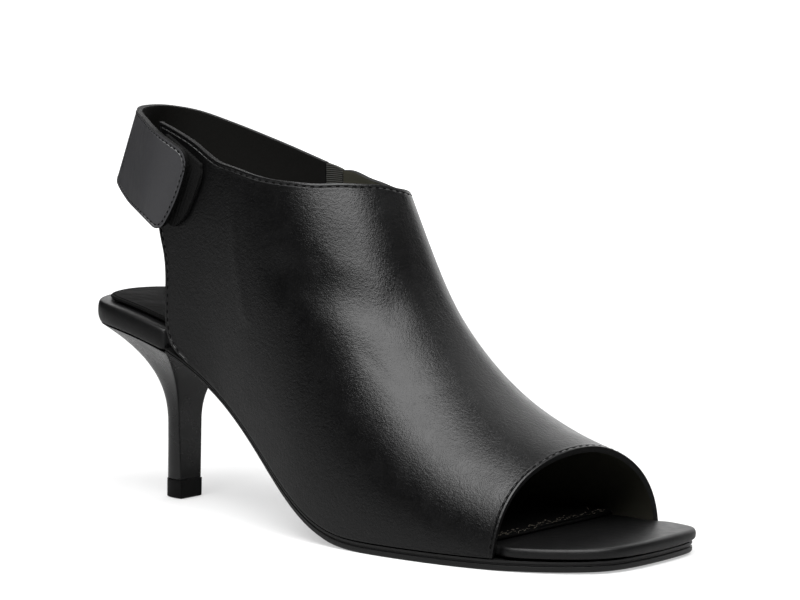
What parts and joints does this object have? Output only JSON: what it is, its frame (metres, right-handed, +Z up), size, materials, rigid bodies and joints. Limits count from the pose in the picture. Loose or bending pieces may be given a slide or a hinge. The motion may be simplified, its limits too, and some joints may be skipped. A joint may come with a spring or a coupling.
{
  "type": "high-heeled slingback sandal",
  "caption": "Right open-toe slingback sandal with a smooth closed vamp, slim high heel, wrapped footbed and a hook-and-loop tab strap round the heel.",
  "frame": {"origin": "on the floor, under the middle of the shoe's box", "axes": "+X towards the toe, +Z up, -Y to the outer side of the foot"},
  "size_m": [0.232, 0.0782, 0.1383],
  "materials": {
    "upper_leather": "smooth satin with a fine grain",
    "strap_leather": "smooth satin with a fine grain",
    "hook_tape": "dull woven hook tape",
    "loop_tape": "dull woven loop tape",
    "elastic": "ribbed elastic",
    "footbed_leather": "smooth satin, wrapped over the board",
    "sock_leather": "dull smooth lining",
    "outsole": "satin edge, matt underside",
    "heel_wrap": "satin wrapped over the heel block",
    "top_lift": "matt hard rubber"
  },
  "bodies": {
    "root": {"upper": "upper_leather", "strap": "strap_leather", "hook_patch": "hook_tape", "loop_patch": "loop_tape", "elastic_gore": "elastic", "footbed": "footbed_leather", "sock": "sock_leather", "outsole": "outsole", "heel": "heel_wrap", "top_lift": "top_lift"}
  },
  "joints": []
}
